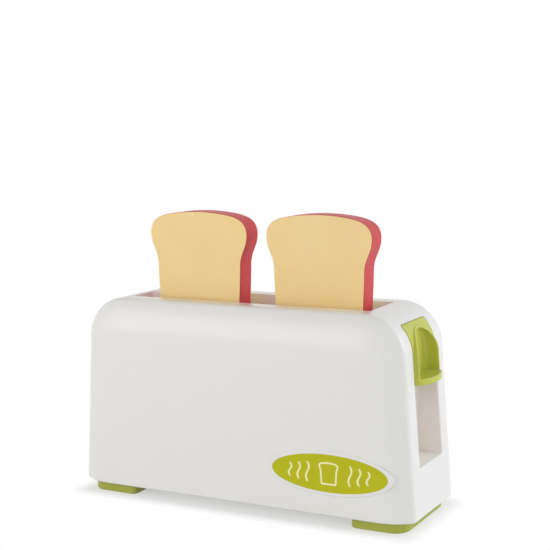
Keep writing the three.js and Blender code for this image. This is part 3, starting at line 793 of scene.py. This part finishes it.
def makeIcon(backY):
    sliceLow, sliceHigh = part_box("left_slice_crust")
    height = badge["iconHeight"]
    scale = height / (sliceHigh[2] - sliceLow[2])
    half = scale * (sliceHigh[0] - sliceLow[0]) / 2
    bm = sliceOutline(badge["x"], badge["z"] - height / 2, half, height, scale)
    rim = bmesh.ops.inset_region(bm, faces=bm.faces[:], thickness=badge["iconLine"], use_even_offset=True,
                                 use_boundary=True)["faces"]
    bmesh.ops.delete(bm, geom=[face for face in bm.faces if face not in rim], context="FACES")
    move(bm, (0, backY, 0))
    thicken(bm, (0, -badge["relief"], 0))
    asObject("badge_icon", bm, "badgeCream", "shell")


def makeBadge():
    plateFront = badge["front"] + 2 * badge["relief"]
    faceFront = plateFront - badge["relief"]
    oval = badgeOval(0, 0, badge["back"], plateFront, badge["steps"])
    outline = asObject("badge_plate", oval, "badgeCream", "shell")
    softEdges(outline, badge["plateEdge"], badge["plateEdgeSegments"])
    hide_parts("badge")
    oval = badgeOval(-badge["outline"], -badge["outline"], plateFront, faceFront, badge["steps"])
    asObject("badge_face", oval, "badgeGreen", "shell")
    for side in ("left", "right"):
        for index in range(badge["waves"]):
            makeWave(side, index, faceFront)
    makeIcon(faceFront)


makeBadge()
print("badge made")


# Springs, screws and the plainer pieces inside

spring = {"meanRadius": 2.9 * mm, "wireRadius": 0.4 * mm, "turns": 14, "stepsPerTurn": 24, "sides": 10}


def makeSpring(side):
    node = side + "_spring"
    low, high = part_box(node)
    rodLow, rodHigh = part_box(side + "_guide_rod")
    x, y = (rodLow[0] + rodHigh[0]) / 2, (rodLow[1] + rodHigh[1]) / 2
    steps = spring["turns"] * spring["stepsPerTurn"]
    rise = high[2] - low[2] - 2 * spring["wireRadius"]
    bm = bmesh.new()
    bmesh.ops.create_circle(bm, cap_ends=False, segments=spring["sides"], radius=spring["wireRadius"])
    standUp(bm)
    move(bm, (x + spring["meanRadius"], y, low[2] + spring["wireRadius"]))
    bmesh.ops.spin(bm, geom=bm.verts[:] + bm.edges[:], cent=(x, y, 0), axis=(0, 0, 1),
                   dvec=(0, 0, rise / steps), angle=2 * math.pi * spring["turns"], steps=steps)
    closeHoles(bm)
    piece = asObject(side + "_coil", bm, "steel", "shell")
    piece.data.shade_smooth()
    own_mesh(piece)
    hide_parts(node)


screw = {
    "headHeight": 1.8 * mm, "headRound": 0.6 * mm, "roundSegments": 4, "headSteps": 40,
    "shankRadius": 1.3 * mm, "shankStart": 1 * mm, "shankSteps": 24,
    "recessLength": 3.2 * mm, "recessWidth": 0.7 * mm, "recessDepth": 0.9 * mm,
    "edge": 0.12 * mm, "edgeSegments": 2, "edgeAngle": 40,
}


def makeScrew(node, body):  # the lever's screw has its head on top, and the others have it below
    low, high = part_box(node)
    x, y = (low[0] + high[0]) / 2, (low[1] + high[1]) / 2
    if node == "lever_screw":
        outerZ, headEnds = high[2], (high[2] - screw["headHeight"], high[2])
        shankEnds = (low[2], high[2] - screw["shankStart"])
    else:
        outerZ, headEnds = low[2], (low[2], low[2] + screw["headHeight"])
        shankEnds = (low[2] + screw["shankStart"], high[2])
    bm = postMesh(x, y, *headEnds, (high[0] - low[0]) / 2, screw["headSteps"])
    rim = [edge for edge in bm.edges if all(abs(vert.co.z - outerZ) < nearby for vert in edge.verts)]
    bevel(bm, rim, screw["headRound"], screw["roundSegments"], "EDGES")
    piece = asObject(node + "_turned", bm, "steel", body)
    shank = postMesh(x, y, *shankEnds, screw["shankRadius"], screw["shankSteps"])
    combine(piece, tool(shank), "UNION")
    depth = screw["recessDepth"]
    size = (screw["recessLength"], screw["recessWidth"])
    for length, width in (size, size[::-1]):
        groove = boxMesh((x - length / 2, y - width / 2, outerZ - depth),
                         (x + length / 2, y + width / 2, outerZ + depth))
        combine(piece, tool(groove), "DIFFERENCE")
    softEdges(piece, screw["edge"], screw["edgeSegments"], screw["edgeAngle"])
    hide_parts(node)


plain = {"weld": 0.002 * mm, "flatAngle": 0.5, "edge": 0.25 * mm, "fineEdge": 0.15 * mm,
         "edgeSegments": 2, "edgeAngle": 40}


def fromCad(node, material, body, width=plain["edge"]):
    bm = simplified(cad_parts[node].data, plain["weld"], plain["flatAngle"])
    piece = asObject(node + "_dressed", bm, material, body)
    softEdges(piece, width, plain["edgeSegments"], plain["edgeAngle"])
    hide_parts(node)


for side in ("left", "right"):
    makeSpring(side)
for number in range(1, 5):
    makeScrew("base_screw_%d" % number, "shell")
    makeScrew("chamber_screw_%d" % number, "shell")
makeScrew("lever_screw", "lift")
fromCad("bread_chamber", "chamberWhite", "shell")
fromCad("base_plate", "chamberWhite", "shell")
fromCad("carriage", "carriageGrey", "lift", plain["fineEdge"])
fromCad("left_guide_rod", "steel", "shell")
fromCad("right_guide_rod", "steel", "shell")
print("inside made")


# Camera, floor and light

view = {"place": (0.3394, -0.6191, 0.2196), "turn": 28.06, "dip": 7.47, "roll": -0.91, "lens": 82.06,
        "sensor": 36, "shiftY": 0.00616}


def makeCamera():
    turn, dip, roll = (math.radians(view[key]) for key in ("turn", "dip", "roll"))
    forward = Vector((-math.sin(turn) * math.cos(dip), math.cos(turn) * math.cos(dip), -math.sin(dip)))
    right = Vector((math.cos(turn), math.sin(turn), 0))
    up = right.cross(forward)
    tiltedRight = math.cos(roll) * right + math.sin(roll) * up
    tiltedUp = -math.sin(roll) * right + math.cos(roll) * up
    data = bpy.data.cameras.new("camera")
    data.lens = view["lens"]
    data.sensor_width = view["sensor"]
    data.sensor_fit = "HORIZONTAL"
    data.shift_y = view["shiftY"]
    camera = bpy.data.objects.new("camera", data)
    scene.collection.objects.link(camera)
    turnMatrix = Matrix((tiltedRight, tiltedUp, -forward)).transposed()
    camera.matrix_world = Matrix.Translation(view["place"]) @ turnMatrix.to_4x4()
    scene.camera = camera


studio = {
    "floorSize": 8, "floorSeen": 1.0, "floorGrey": 0.8,
    "footprint": (0.1, 0.033, 0), "whiteFrom": -0.01, "whiteTo": 0.011,
    "worldSeen": 1.0, "horizonLight": 1.52, "zenithLight": 0.1, "zenithFrom": 0.9, "sideLight": (0.72, 1.28),
}


def seenDirectly(tree):
    path = addNode(tree, "ShaderNodeLightPath")
    first = addNode(tree, "ShaderNodeMath", [(0, path.outputs["Is Camera Ray"]),
                                             (1, path.outputs["Is Glossy Ray"])], "MAXIMUM")
    both = addNode(tree, "ShaderNodeMath", [(0, first.outputs[0]),
                                            (1, path.outputs["Is Transmission Ray"])], "MAXIMUM")
    return both.outputs[0]


def makeFloor():
    bm = bmesh.new()
    bmesh.ops.create_grid(bm, x_segments=1, y_segments=1, size=studio["floorSize"] / 2)
    floor = newObject("floor", bm)
    material = bpy.data.materials.new("floor")
    material.use_nodes = True
    tree = material.node_tree
    tree.nodes.clear()
    output = tree.nodes.new("ShaderNodeOutputMaterial")
    shader = tree.nodes.new("ShaderNodeBsdfDiffuse")
    direct = seenDirectly(tree)
    grey = colourMix(tree, direct, (studio["floorGrey"],) * 3, (studio["floorSeen"],) * 3)
    tree.links.new(grey, shader.inputs[0])
    white = addNode(tree, "ShaderNodeEmission")  # away from the object, the floor meets the white backdrop
    coordinates = addNode(tree, "ShaderNodeTexCoord")
    side = addNode(tree, "ShaderNodeVectorMath", [(0, coordinates.outputs["Object"])], "ABSOLUTE")
    beyond = addNode(tree, "ShaderNodeVectorMath", [(0, side.outputs[0])], "SUBTRACT")
    beyond.inputs[1].default_value = studio["footprint"]
    outside = addNode(tree, "ShaderNodeVectorMath", [(0, beyond.outputs[0])], "MAXIMUM")
    away = addNode(tree, "ShaderNodeVectorMath", [(0, outside.outputs[0])], "LENGTH")
    far = spread(tree, away.outputs["Value"], 0, 1, studio["whiteFrom"], studio["whiteTo"])
    share = addNode(tree, "ShaderNodeMath", [(0, far), (1, direct)], "MULTIPLY")
    blend = addNode(tree, "ShaderNodeMixShader", [(0, share.outputs[0]), (1, shader.outputs[0]),
                                                  (2, white.outputs[0])])
    tree.links.new(blend.outputs[0], output.inputs[0])
    floor.data.materials.append(material)


def makeWorld():
    world = bpy.data.worlds.new("studio")
    scene.world = world
    world.use_nodes = True
    tree = world.node_tree
    back = tree.nodes["Background"]
    back.inputs[0].default_value = (1, 1, 1, 1)
    coordinates = addNode(tree, "ShaderNodeTexCoord")
    direction = addNode(tree, "ShaderNodeSeparateXYZ", [("Vector", coordinates.outputs["Generated"])])
    light = spread(tree, direction.outputs["Z"], studio["horizonLight"], studio["zenithLight"], 0,
                   studio["zenithFrom"])
    side = spread(tree, direction.outputs["X"], *studio["sideLight"], -1, 1)  # the lever's end is lit more
    around = addNode(tree, "ShaderNodeMath", [(0, light), (1, side)], "MULTIPLY")
    strength = addNode(tree, "ShaderNodeMapRange", [("Value", seenDirectly(tree)),
                                                    ("To Min", around.outputs[0])])
    strength.inputs["To Max"].default_value = studio["worldSeen"]
    tree.links.new(strength.outputs[0], back.inputs[1])


lamps = {
    "frontLeft": {"place": (-0.62, -0.95, 0.45), "target": (0, 0, 0.06), "size": (0.9, 0.85), "power": 3.6,
                  "tint": (1, 0.985, 0.96)},
    "right": {"place": (1.0, 0.7, 0.5), "target": (0, 0, 0.06), "size": (0.6, 0.6), "power": 4.35,
              "tint": (0.83, 0.92, 1)},
}


def makeLamp(name, lamp):
    data = bpy.data.lights.new(name, "AREA")
    data.shape = "RECTANGLE"
    data.size, data.size_y = lamp["size"]
    data.energy = lamp["power"]
    data.color = lamp["tint"]
    light = bpy.data.objects.new(name, data)
    scene.collection.objects.link(light)
    aim = Vector(lamp["target"]) - Vector(lamp["place"])
    turn = aim.to_track_quat("-Z", "Y").to_matrix().to_4x4()
    light.matrix_world = Matrix.Translation(lamp["place"]) @ turn


makeCamera()
makeFloor()
makeWorld()
for name, lamp in lamps.items():
    makeLamp(name, lamp)
print("studio made")
